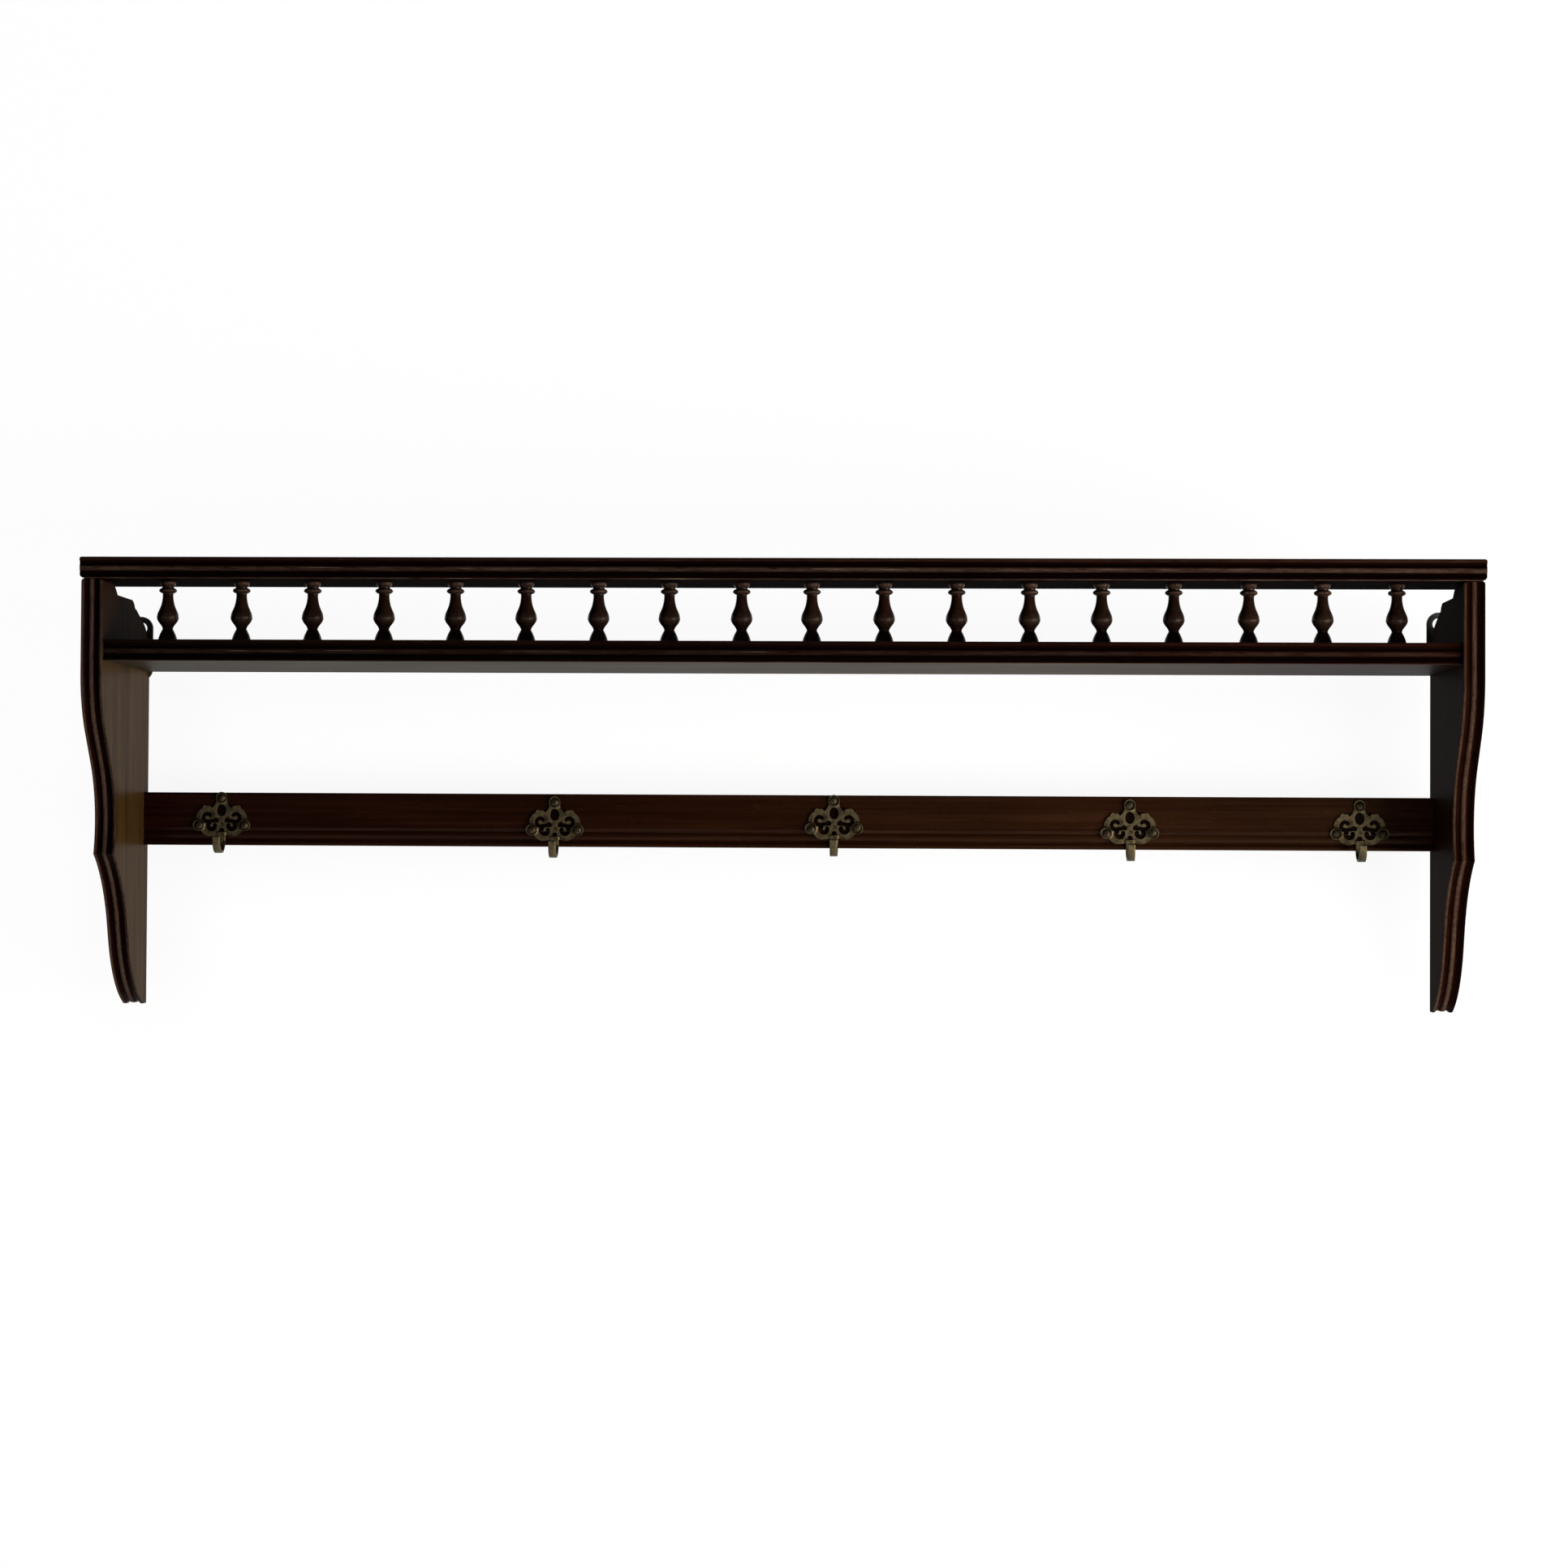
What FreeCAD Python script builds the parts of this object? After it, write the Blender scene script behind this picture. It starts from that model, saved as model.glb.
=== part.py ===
"""Wall shelf with a gallery of turned spindles and a rail of five pierced brass coat hooks.

Millimetres, +Z up. The wall is the plane Y = 0 and the front faces -Y. The origin is the middle of
the hook rail's back face.
"""
import FreeCAD, Part
import math
import os

from FreeCAD import Placement, Rotation, Vector

# Whole shelf
overall_width = 1080.0
overall_depth = 160.0
board_thickness = 16.6
cut_overrun = 2.0
wood_clearance = 0.15
metal_clearance = 0.1
tiny = 1e-4

# Reeded edge: a bead between two flutes, with a flat band each side
bead_half_width = 3.1
flute_width = 3.1
flute_depth = 1.85
bead_drop = 0.8
flute_bow_share = 0.5
flute_sag_share = 0.73
arris_round = 1.0

# Top board over the gallery
top_rail_depth = 84.0
top_rail_overhang = 1.5
top_rail_upper_round = 2.0
top_rail_lower_round = 4.0

# Shelf, gallery and hook rail
gallery_height = 46.95
shelf_setback = 4.0
rail_gap = 99.0
rail_height = 42.9
rail_thickness = 15.0
rail_reed_rise = 9.0

# Side panel: front outline from the top down, slopes in degrees from straight down
front_flat_height = 73.4
shoulder_radius = 74.0
shoulder_slope = 38.0
shoulder_run = 30.0
waist_radius = 74.0
cusp_slope = -20.0
cove_radius = 105.0
cove_start_slope = 60.0
neck_slope = 19.0
neck_run = 12.0
belly_radius = 86.0
belly_slope = 70.0
toe_radius = 10.0
foot_slope = 90.0
panel_top_round = 2.5

# Side panel: stepped corner behind the top board, as shares of its length and of the gallery's height
panel_top_depth = 31.0
corner_shares = [
    [(0, 0), (0.085, 0.08), (0.147, 0.199)],
    [(0.147, 0.199), (0.496, 0.199)],
    [(0.496, 0.199), (0.555, 0.222), (0.589, 0.280)],
    [(0.589, 0.280), (0.595, 0.306)],
    [(0.595, 0.306), (0.608, 0.331), (0.636, 0.338)],
    [(0.636, 0.338), (0.729, 0.433), (0.845, 0.551), (0.915, 0.680), (0.945, 0.830), (1, 1)],
]

# Spindles: places in shares of the half width between the panels, set out by eye, and the outline in
# shares of the gallery's height and of the spindle's radius
spindle_place_shares = (
    -0.9183, -0.8071, -0.6998, -0.5923, -0.4850, -0.3789, -0.2703, -0.1644, -0.0565,
    0.0483, 0.1558, 0.2636, 0.3717, 0.4785, 0.5852, 0.6958, 0.8049, 0.9140,
)
spindle_inset = 38.0
spindle_radius = 8.5
spindle_shares = [
    [(0, 0.885), (0.067, 0.825), (0.154, 0.645), (0.216, 0.465)],
    [(0.216, 0.465), (0.261, 0.553), (0.335, 0.853), (0.380, 0.97), (0.413, 1)],
    [(0.413, 1), (0.413, 0.975)],
    [(0.413, 0.975), (0.457, 0.958), (0.578, 0.694), (0.698, 0.524), (0.780, 0.488), (0.813, 0.500)],
    [(0.813, 0.500), (0.829, 0.712), (0.855, 0.812), (0.883, 0.728), (0.900, 0.535)],
    [(0.900, 0.535), (0.911, 0.540), (0.940, 0.620), (0.966, 0.718)],
    [(0.966, 0.718), (1, 0.726)],
]
tenon_radius = 4.0
tenon_length = 8.0
tenon_hole_spare = 0.5

# Blind dowels in the joints of the boards
shelf_dowel_radius = 4.0
rail_dowel_radius = 3.0
dowel_length = 30.0
dowel_end_spare = 0.5
panel_dowel_depth = 10.0
shelf_dowel_shares = (0.15, 0.46, 0.77)
rail_dowel_share = 0.24
top_dowel_shares = (0.30, 0.74)
top_dowel_length = 20.0
top_dowel_rise = 8.0

# Coat hooks: places in shares of the overall width, heights of the side screws' line in shares of the
# rail's height, and the lean of each plate as fitted, in degrees
hook_place_shares = (-0.4238, -0.1719, 0.0378, 0.2585, 0.4289)
hook_height_shares = (-0.123, -0.180, -0.125, -0.184, -0.180)
hook_leans = (0.2, 0.0, 2.5, 2.3, -1.0)
hook_thickness = 2.0
hook_reach = 18.6
hook_lobe_radius = 4.9
hook_lobe_rise = 0.6
hook_lobe_clearance = 0.25
hook_top_share = 1.20

# Plate of a hook: its left half from the neck down, in shares of the hook's reach
plate_shares = [
    [(-0.242, 1.102), (-0.306, 0.882), (-0.430, 0.758)],
    [(-0.430, 0.758), (-0.543, 0.860), (-0.618, 0.844)],
    [(-0.618, 0.844), (-0.737, 0.882), (-0.844, 0.742)],
    [(-0.844, 0.742), (-1.032, 0.591), (-1.108, 0.306)],
    [(-1.108, 0.306), (-1, 0)],
    [(-1, 0), (-0.887, -0.263)],
    [(-0.887, -0.263), (-0.624, -0.468), (-0.312, -0.468)],
    [(-0.312, -0.468), (-0.145, -0.414)],
]
oval_width = 6.9
oval_height = 9.1
oval_rise_share = 0.656
eye_radius = 1.9
eye_drop_share = 0.220

# Scroll piercing of a plate: its left half, in shares of the hook's reach, angles in degrees
upper_scroll_share = (-0.624, 0.333)
upper_scroll_radius = 3.1
upper_scroll_width = 2.6
upper_scroll_sweep = (45.0, 270.0)
lower_scroll_share = (-0.441, -0.016)
lower_scroll_radius = 2.75
lower_scroll_width = 3.0
lower_scroll_sweep = (140.0, 370.0)
branch_shares = [
    (-0.629, 0.231), (-0.629, 0.091), (-0.349, 0.134), (-0.156, 0.140),
    (-0.124, 0.253), (-0.253, 0.344), (-0.371, 0.258),
]

# Strap of a hook, bent from the plate's foot out and up
strap_thickness = 2.8
strap_root_width = 7.2
strap_tip_width = 6.3
strap_bend_radius = 11.5
strap_bend_drop = 11.1
strap_root_drop = 5.0
strap_roll_radius = 3.0
strap_roll_angle = 20.0
strap_arris = 0.8

# Wood screws of a hook
screw_head_radius = 3.2
screw_head_height = 1.7
screw_radius = 1.5
screw_length = 11.0
slot_width = 0.9
slot_depth = 0.7
first_slot_angle = 15.0
slot_angle_step = 50.0

# Hanging plates, let in flush at the back of the side panels
hanger_width = 19.0
hanger_length = 52.4
hanger_thickness = 2.0
hanger_reach = 3.1
hanger_rise_left = 28.4
hanger_rise_right = 34.6
hanger_hole_radius = 4.8
hanger_screw_shares = (0.105, 0.296)
hanger_screw_radius = 1.75
hanger_screw_head_radius = 3.4
hanger_screw_length = 16.0

# Places worked out from the sizes above
half_width = overall_width / 2
panel_outer = half_width - top_rail_overhang
panel_inner = panel_outer - board_thickness
shelf_low = rail_height / 2 + rail_gap
shelf_high = shelf_low + board_thickness
top_low = shelf_high + gallery_height
top_high = top_low + board_thickness
spindle_row = spindle_inset - overall_depth
flute_edge = bead_half_width + flute_width
side_signs = {"left": -1, "right": 1}
hanger_tops = {"left": shelf_high + hanger_rise_left, "right": shelf_high + hanger_rise_right}
hook_places = [share * overall_width for share in hook_place_shares]
hook_heights = [share * rail_height for share in hook_height_shares]
along_x = Vector(1, 0, 0)
along_y = Vector(0, 1, 0)
along_z = Vector(0, 0, 1)


def stretch(points):
    """A line through two points, an arc through three, or a smooth curve through more."""
    if len(points) == 2:
        return Part.LineSegment(*points).toShape()
    if len(points) == 3:
        return Part.Arc(*points).toShape()
    curve = Part.BSplineCurve()
    curve.interpolate(points)
    return curve.toShape()


def chain(stretches):
    """The edges of an outline given as a list of stretches."""
    return [stretch(points) for points in stretches]


def polyline(points):
    """Straight edges from each point to the next."""
    return [stretch(pair) for pair in zip(points, points[1:])]


def face_of(edges):
    """The flat face inside a closed ring of edges."""
    return Part.Face(Part.Wire(Part.__sortEdges__(edges)))


def rod(radius, length, base, direction):
    """A plain cylinder."""
    return Part.makeCylinder(radius, length, base, direction)


def flutes(place):
    """Three arcs across a reeded edge, where place(across, depth) gives a point in space."""
    bow = bead_half_width + flute_width * flute_bow_share
    sag = flute_depth * flute_sag_share
    return chain([
        [place(-flute_edge, 0), place(-bow, sag), place(-bead_half_width, flute_depth)],
        [place(-bead_half_width, flute_depth), place(0, bead_drop), place(bead_half_width, flute_depth)],
        [place(bead_half_width, flute_depth), place(bow, sag), place(flute_edge, 0)],
    ])


def reeded_board(half_length, front, back, low, high, reed_rise):
    """A board along X, reeded on its front with the bead's middle at reed_rise over its lower edge."""
    middle = low + reed_rise
    turn = arris_round * (1 - math.sqrt(0.5))

    def at(y, z):
        return Vector(-half_length, y, z)

    edges = flutes(lambda across, depth: at(front + depth, middle + across))
    edges += polyline([at(front, middle - flute_edge), at(front, low + arris_round)])
    edges += polyline([at(front, middle + flute_edge), at(front, high - arris_round)])
    edges += chain([
        [at(front, low + arris_round), at(front + turn, low + turn), at(front + arris_round, low)],
        [at(front, high - arris_round), at(front + turn, high - turn), at(front + arris_round, high)],
    ])
    edges += polyline([
        at(front + arris_round, low), at(back, low), at(back, high), at(front + arris_round, high),
    ])
    return face_of(edges).extrude(along_x * 2 * half_length)


def trace(y, z, slope, moves):
    """Follow an outline through straight runs and turns, giving one step for each.

    A move is (length, None) for a run or (radius, new slope) for a turn. A slope is in degrees from
    straight down, growing towards the back. A step is (y, z, slope, size, new slope).
    """
    steps = []
    for size, new_slope in moves:
        steps.append((y, z, slope, size, new_slope))
        here = math.radians(slope)
        if new_slope is None:
            y += size * math.sin(here)
            z -= size * math.cos(here)
        else:
            there = math.radians(new_slope)
            way = math.copysign(size, new_slope - slope)
            y += way * (math.cos(here) - math.cos(there))
            z -= way * (math.sin(there) - math.sin(here))
            slope = new_slope
    return steps, (y, z, slope)


def step_edge(step, end):
    """The edge of one step of a traced outline, in the plane X = 0."""
    y, z, slope, size, new_slope = step
    start = Vector(0, y, z)
    finish = Vector(0, end[0], end[1])
    if new_slope is None:
        return stretch([start, finish])
    half_way = (slope + new_slope) / 2
    _, middle = trace(y, z, slope, [(size, half_way)])
    return stretch([start, Vector(0, middle[0], middle[1]), finish])


def traced_edges(steps, finish):
    """All the edges of a traced outline that ends at finish."""
    ends = [step[:2] for step in steps[1:]] + [finish[:2]]
    return [step_edge(step, end) for step, end in zip(steps, ends)]


def reed_cutters(steps, x):
    """What a reeding bit takes out as it follows a traced outline at the middle of a panel."""
    def at(across, depth):
        return Vector(across, depth, 0)

    section = flutes(at)
    section += polyline([
        at(-flute_edge, 0), at(-flute_edge, -cut_overrun), at(flute_edge, -cut_overrun), at(flute_edge, 0),
    ])
    cutters = []
    for y, z, slope, size, new_slope in steps:
        face = face_of(section)
        turn = math.radians(slope)
        face.Placement = Placement(Vector(x, y, z), Rotation(along_x, slope))
        if new_slope is None:
            cutters.append(face.extrude(Vector(0, math.sin(turn), -math.cos(turn)) * size))
        else:
            way = math.copysign(size, new_slope - slope)
            centre = Vector(x, y + way * math.cos(turn), z + way * math.sin(turn))
            cutters.append(face.revolve(centre, along_x, new_slope - slope))
    return cutters


def front_outline():
    """The two parts of a side panel's front outline, above and below its cusp, and where they end."""
    upper, cusp = trace(-overall_depth, top_low, 0, [
        (front_flat_height, None),
        (shoulder_radius, shoulder_slope),
        (shoulder_run, None),
        (waist_radius, 0),
        (waist_radius, cusp_slope),
    ])
    lower, foot = trace(cusp[0], cusp[1], cove_start_slope, [
        (cove_radius, neck_slope),
        (neck_run, None),
        (belly_radius, belly_slope),
        (toe_radius, foot_slope),
    ])
    return upper, cusp, lower, foot


def hanger_outline(side, spare):
    """The outline of a hanging plate, or of its pocket where spare is its clearance, at the wall plane."""
    x = side_signs[side] * (panel_inner - hanger_reach + hanger_width / 2)
    radius = hanger_width / 2
    high = hanger_tops[side] - radius
    low = hanger_tops[side] - hanger_length + radius
    radius += spare

    def at(u, z):
        return Vector(x + u, 0, z)

    return x, high, low, face_of(
        chain([
            [at(-radius, high), at(0, high + radius), at(radius, high)],
            [at(radius, low), at(0, low - radius), at(-radius, low)],
        ])
        + polyline([at(radius, high), at(radius, low)])
        + polyline([at(-radius, low), at(-radius, high)])
    )


def hanger_pocket(side):
    """The shallow pocket that lets a hanging plate in flush."""
    face = hanger_outline(side, wood_clearance)[3]
    face.translate(along_y * cut_overrun)
    return face.extrude(along_y * -(hanger_thickness + cut_overrun))


def hanger_screw_places(side):
    """Where the two screws of a hanging plate stand, at the wall plane."""
    x = hanger_outline(side, 0)[0]
    low = hanger_tops[side] - hanger_length
    return [Vector(x, 0, low + share * hanger_length) for share in hanger_screw_shares]


def hanger_screw(place, spare):
    """A countersunk wood screw driven from the wall side, or its hole where spare is its clearance."""
    head = hanger_screw_head_radius + spare
    shank = hanger_screw_radius + spare
    cone = Part.makeCone(head, shank, head - shank, place, along_y * -1)
    body = rod(shank, hanger_screw_length + spare, place, along_y * -1)
    return cone.fuse(body).removeSplitter()


def hanger_plate(side):
    """A black hanging plate with a round eye and two countersunk holes."""
    x, high, _, face = hanger_outline(side, 0)
    plate = face.extrude(along_y * -hanger_thickness)
    through = hanger_thickness + 2 * cut_overrun
    eye = rod(hanger_hole_radius, through, Vector(x, cut_overrun, high), along_y * -1)
    screws = [hanger_screw(place, metal_clearance) for place in hanger_screw_places(side)]
    return plate.cut([eye] + screws)


def shelf_dowel_places():
    """Where the shelf's dowels cross the inner face of a panel, for the positive side."""
    height = shelf_low + board_thickness / 2
    return [Vector(panel_inner, -share * overall_depth, height) for share in shelf_dowel_shares]


def rail_dowel_places():
    """Where the hook rail's dowels cross the inner face of a panel, for the positive side."""
    rise = rail_dowel_share * rail_height
    return [Vector(panel_inner, -rail_thickness / 2, height) for height in (-rise, rise)]


def top_dowel_places():
    """Where the dowels stand in the joint between a panel and the top board, for the positive side."""
    x = panel_outer - board_thickness / 2
    return [Vector(x, share * panel_top_depth - overall_depth, top_low) for share in top_dowel_shares]


def on_side(place, sign):
    """A place given for the positive side, on the side with this sign."""
    return Vector(sign * place.x, place.y, place.z)


def side_dowel(radius, place, sign, spare, end_spare):
    """A level dowel through a panel's inner face, or its hole with its clearances."""
    start = Vector(sign * (place.x + panel_dowel_depth + end_spare), place.y, place.z)
    return rod(radius + spare, dowel_length + 2 * end_spare, start, along_x * -sign)


def top_dowel(place, sign, spare, end_spare):
    """An upright dowel through the joint under the top board, or its hole with its clearances."""
    start = on_side(place, sign) + along_z * (top_dowel_rise - top_dowel_length - end_spare)
    return rod(rail_dowel_radius + spare, top_dowel_length + 2 * end_spare, start, along_z)


def dowels(sign, spare=0, end_spare=0):
    """The dowels of one end, or their holes: those of the shelf, of the rail and of the top board."""
    shelf = [side_dowel(shelf_dowel_radius, place, sign, spare, end_spare) for place in shelf_dowel_places()]
    rail = [side_dowel(rail_dowel_radius, place, sign, spare, end_spare) for place in rail_dowel_places()]
    top = [top_dowel(place, sign, spare, end_spare) for place in top_dowel_places()]
    return shelf, rail, top


def dowel_holes(which):
    """The holes of one kind of dowel at both ends: 0 for the shelf's, 1 for the rail's, 2 for the top's."""
    holes = []
    for sign in side_signs.values():
        holes += dowels(sign, wood_clearance, dowel_end_spare)[which]
    return holes


def side_panel(side):
    """An end board: ogee front with a cusp, reeded all the way, and a stepped corner at the top rear."""
    sign = side_signs[side]
    middle = sign * (panel_inner + panel_outer) / 2
    upper, cusp, lower, foot = front_outline()
    low = foot[1]
    left = middle - board_thickness / 2
    blank = Part.makeBox(board_thickness, overall_depth, top_low - low, Vector(left, -overall_depth, low))

    # What lies in front of the outline
    front = -overall_depth - cut_overrun
    under = low - cut_overrun
    above = top_low + cut_overrun
    beyond = max(0, foot[0]) + cut_overrun
    ring = traced_edges(upper, cusp) + traced_edges(lower, foot)
    ring += polyline([
        Vector(0, foot[0], foot[1]), Vector(0, beyond, foot[1]), Vector(0, beyond, under),
        Vector(0, front, under), Vector(0, front, above), Vector(0, -overall_depth, above),
        Vector(0, -overall_depth, top_low),
    ])
    in_front = face_of(ring).extrude(along_x * board_thickness)
    in_front.translate(along_x * left)

    board = blank.cut(in_front)

    # Rounded arrises, all but those at the wall and under the top board
    def is_arris(edge):
        bound = edge.BoundBox
        return bound.XLength < tiny and bound.YMin < -tiny and bound.ZMin < top_low - tiny

    board = board.makeFillet(arris_round, [edge for edge in board.Edges if is_arris(edge)])

    # What lies over the stepped corner
    corner_length = overall_depth - panel_top_depth

    def corner(shares):
        return Vector(0, -corner_length * (1 - shares[0]), top_low - gallery_height * shares[1])

    ring = chain([[corner(shares) for shares in line] for line in corner_shares])
    first = corner(corner_shares[0][0])
    last = corner(corner_shares[-1][-1])
    ring += polyline([
        last, Vector(0, cut_overrun, last.z), Vector(0, cut_overrun, above),
        Vector(0, first.y, above), first,
    ])
    over_corner = face_of(ring).extrude(along_x * board_thickness)
    over_corner.translate(along_x * left)
    board = board.cut(over_corner)

    def is_top_corner(edge):
        bound = edge.BoundBox
        outer = abs(abs(bound.Center.x) - panel_outer) < tiny and bound.XLength < tiny
        return outer and bound.ZMin > top_low - tiny

    board = board.makeFillet(panel_top_round, [edge for edge in board.Edges if is_top_corner(edge)])

    # Reeding, run past the cusp both ways so that the flutes mitre there, and past the foot
    upper += [(cusp[0], cusp[1], cusp_slope, cut_overrun, None)]
    lead = math.radians(cove_start_slope)
    lead_in = (
        cusp[0] - cut_overrun * math.sin(lead), cusp[1] + cut_overrun * math.cos(lead),
        cove_start_slope, cut_overrun, None,
    )
    heel = (foot[0], foot[1], foot_slope, max(tiny, -foot[0]) + cut_overrun, None)
    board = board.cut(reed_cutters(upper, middle))
    board = board.cut(reed_cutters([lead_in] + lower + [heel], middle))

    # Holes and the pocket at the back
    holes = [hole for kind in dowels(sign, wood_clearance, dowel_end_spare) for hole in kind]
    holes += [hanger_screw(place, metal_clearance) for place in hanger_screw_places(side)]
    return board.cut(holes + [hanger_pocket(side)])


def top_rail():
    """The board over the gallery, with the arrises of its ends rounded."""
    back = top_rail_depth - overall_depth
    board = reeded_board(half_width, -overall_depth, back, top_low, top_high, board_thickness / 2)
    front = -overall_depth - cut_overrun
    outline = Part.makeBox(
        overall_width, top_rail_depth + 2 * cut_overrun, board_thickness, Vector(-half_width, front, top_low)
    )
    ends = [edge for edge in outline.Edges if edge.BoundBox.YLength > board_thickness]
    upper = [edge for edge in ends if edge.BoundBox.ZMin > top_low + tiny]
    lower = [edge for edge in ends if edge.BoundBox.ZMin < top_low + tiny]
    outline = outline.makeFillet(top_rail_upper_round, upper)
    lower = [
        edge for edge in outline.Edges
        if edge.BoundBox.YLength > board_thickness
        and edge.BoundBox.ZMax < top_low + tiny
        and abs(edge.BoundBox.XMin) > half_width - tiny
    ]
    outline = outline.makeFillet(top_rail_lower_round, lower)
    board = board.common(outline)
    sockets = [tenon_hole(x, top_low, 1) for x in spindle_places()]
    return board.cut(sockets + dowel_holes(2))


def shelf_board():
    """The shelf, between the panels."""
    front = shelf_setback - overall_depth
    board = reeded_board(panel_inner, front, 0, shelf_low, shelf_high, board_thickness / 2)
    sockets = [tenon_hole(x, shelf_high, -1) for x in spindle_places()]
    pockets = [hanger_pocket(side) for side in side_signs]
    return board.cut(sockets + dowel_holes(0) + pockets)


def hook_rail():
    """The rail at the wall, reeded along its lower edge, that carries the hooks."""
    half_height = rail_height / 2
    board = reeded_board(panel_inner, -rail_thickness, 0, -half_height, half_height, rail_reed_rise)
    pilots = [
        screw_shank(spot, metal_clearance)
        for number in range(len(hook_places))
        for spot in hook_screw_places(number)
    ]
    return board.cut(pilots + dowel_holes(1))


def spindle_places():
    """The spindles' places along X, from left to right."""
    return [share * panel_inner for share in spindle_place_shares]


def tenon_hole(x, z, way):
    """The blind hole for a tenon, going up (way 1) or down (way -1) from height z."""
    depth = tenon_length + tenon_hole_spare
    return rod(tenon_radius + wood_clearance, depth, Vector(x, spindle_row, z), along_z * way)


def spindle(x):
    """A turned spindle: foot, vase, ring and collar, with a round tenon at each end."""
    def at(radius, z):
        return Vector(x + radius, spindle_row, z)

    outline = [
        [at(spindle_radius * across, shelf_high + gallery_height * up) for up, across in line]
        for line in spindle_shares
    ]
    foot = outline[0][0]
    collar = outline[-1][-1]
    edges = chain(outline)
    edges += polyline([
        collar, at(tenon_radius, top_low), at(tenon_radius, top_low + tenon_length),
        at(0, top_low + tenon_length), at(0, shelf_high - tenon_length),
        at(tenon_radius, shelf_high - tenon_length), at(tenon_radius, shelf_high), foot,
    ])
    return face_of(edges).revolve(Vector(x, spindle_row, 0), along_z, 360)


def hook_turn(number):
    """The placement of one hook: its side screws' middle on the rail's face, leaning as fitted."""
    middle = Vector(hook_places[number], -rail_thickness, hook_heights[number])
    return Placement(middle, Rotation(along_y, -hook_leans[number]))


def hook_screw_spots():
    """The three screws of a hook in its own frame: left, right and top."""
    return [Vector(-hook_reach, 0, 0), Vector(hook_reach, 0, 0), Vector(0, 0, hook_reach * hook_top_share)]


def hook_screw_places(number):
    """Where the three screws of one hook meet the rail's face."""
    return [hook_turn(number).multVec(spot) for spot in hook_screw_spots()]


def screw_shank(place, spare):
    """The shank of a hook's screw from the front of its plate into the rail, or its hole."""
    front = place - along_y * hook_thickness
    return rod(screw_radius + spare, screw_length + spare, front, along_y)


def hook_screw(place, slot_angle):
    """A round-head slotted wood screw that bears on the front of a hook's plate."""
    rise = screw_head_height
    radius = (screw_head_radius ** 2 + rise ** 2) / (2 * rise)
    front = place - along_y * hook_thickness
    ball = Part.makeSphere(radius, front + along_y * (radius - rise))
    half_space = Part.makeBox(
        2 * radius, 2 * radius, 2 * radius,
        Vector(front.x - radius, front.y - 2 * radius, front.z - radius),
    )
    dome = ball.common(half_space)
    slot = Part.makeBox(
        2 * radius, slot_depth + cut_overrun, slot_width,
        Vector(-radius, -rise - cut_overrun, -slot_width / 2),
    )
    slot.Placement = Placement(front, Rotation(along_y, slot_angle))
    return dome.fuse(screw_shank(place, 0)).cut(slot)


def on_plate(shares, mirrored=1):
    """A point on the back of a hook's plate, from shares of the hook's reach."""
    return Vector(mirrored * hook_reach * shares[0], 0, hook_reach * shares[1])


def scroll_slot(centre_share, radius, width, sweep, mirrored):
    """An arc-shaped slot with round ends, cut through a plate."""
    centre = on_plate(centre_share, mirrored)
    start, end = (math.radians(angle) for angle in sweep)

    def at(angle, reach):
        return centre + Vector(mirrored * math.cos(angle), 0, math.sin(angle)) * reach

    half = width / 2
    middle = (start + end) / 2
    cap_turn = half / radius
    return face_of(chain([
        [at(start, radius + half), at(middle, radius + half), at(end, radius + half)],
        [at(end, radius + half), at(end + cap_turn, radius), at(end, radius - half)],
        [at(end, radius - half), at(middle, radius - half), at(start, radius - half)],
        [at(start, radius - half), at(start - cap_turn, radius), at(start, radius + half)],
    ]))


def plate_piercings():
    """The holes of a hook's plate: two scrolls and a branch each side, an oval and a round eye."""
    faces = []
    upper = (upper_scroll_share, upper_scroll_radius, upper_scroll_width, upper_scroll_sweep)
    lower = (lower_scroll_share, lower_scroll_radius, lower_scroll_width, lower_scroll_sweep)
    for mirrored in (1, -1):
        faces += [scroll_slot(*upper, mirrored), scroll_slot(*lower, mirrored)]
        branch = [on_plate(shares, mirrored) for shares in branch_shares]
        faces.append(face_of(polyline(branch + branch[:1])))
    through = []
    for face in faces:
        face.translate(along_y * cut_overrun)
        through.append(face.extrude(along_y * -(hook_thickness + 2 * cut_overrun)))
    middle = Vector(0, cut_overrun, hook_reach * oval_rise_share)
    oval = Part.Ellipse(middle + along_z * (oval_height / 2), middle + along_x * (oval_width / 2), middle)
    oval = face_of([oval.toShape()])
    through.append(oval.extrude(along_y * -(hook_thickness + 2 * cut_overrun)))
    eye = Vector(0, cut_overrun, -hook_reach * eye_drop_share)
    through.append(rod(eye_radius, hook_thickness + 2 * cut_overrun, eye, along_y * -1))
    return through


def hook_plate():
    """The pierced plate of a hook, in its own frame, with a raised rim round each screw's head."""
    halves = []
    for mirrored in (1, -1):
        halves += chain([[on_plate(shares, mirrored) for shares in line] for line in plate_shares])
    top = plate_shares[0][0]
    bottom = plate_shares[-1][-1]
    halves += polyline([on_plate(top), on_plate(top, -1)])
    halves += polyline([on_plate(bottom), on_plate(bottom, -1)])
    web = face_of(halves).extrude(along_y * -hook_thickness)
    lobes = []
    dishes = []
    for spot in hook_screw_spots():
        lobes.append(rod(hook_lobe_radius, hook_thickness + hook_lobe_rise, spot, along_y * -1))
        front = spot - along_y * hook_thickness
        dish = screw_head_radius + hook_lobe_clearance
        dishes.append(rod(dish, hook_lobe_rise + cut_overrun, front, along_y * -1))
    return web.fuse(lobes).cut(plate_piercings() + dishes)


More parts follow.
